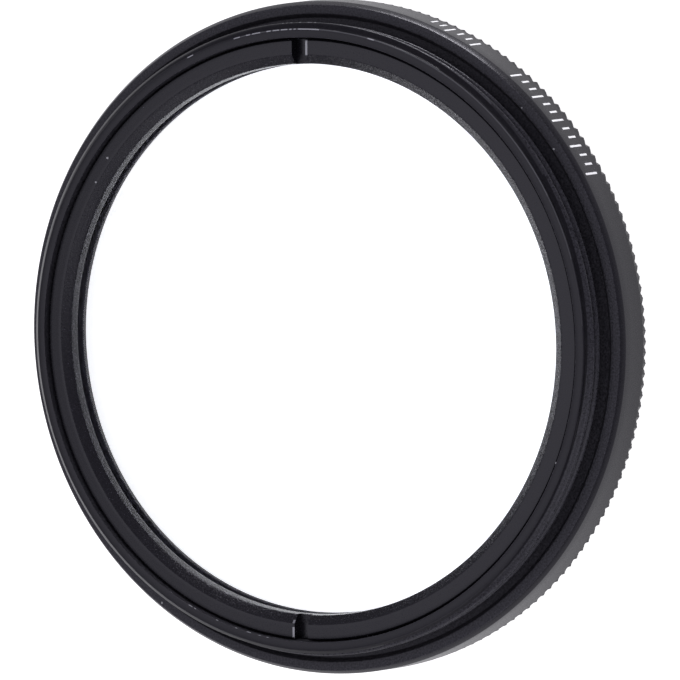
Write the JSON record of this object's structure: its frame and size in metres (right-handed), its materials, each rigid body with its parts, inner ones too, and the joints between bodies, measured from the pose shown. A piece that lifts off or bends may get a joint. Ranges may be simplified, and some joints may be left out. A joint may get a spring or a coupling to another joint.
{
  "type": "uv filter",
  "caption": "Round screw-in lens filter: a thin black turned frame with a knurled rim and threads on both sides, holding a clear glass disc under a slotted retaining ring.",
  "frame": {"origin": "centre of the front face, the face the filter stands on, on the optical axis", "axes": "+Z along the optical axis towards the lens side with the male thread, +Y through the two spanner slots"},
  "size_m": [0.04, 0.04, 0.0048],
  "materials": {
    "frame_aluminium": "black anodised, fine matt, with white print on the side band",
    "optical_glass": "polished clear, coated",
    "ring_aluminium": "black anodised, satin, turned"
  },
  "bodies": {
    "root": {"filter_frame": "frame_aluminium", "filter_glass": "optical_glass", "retaining_ring": "ring_aluminium"}
  },
  "joints": []
}
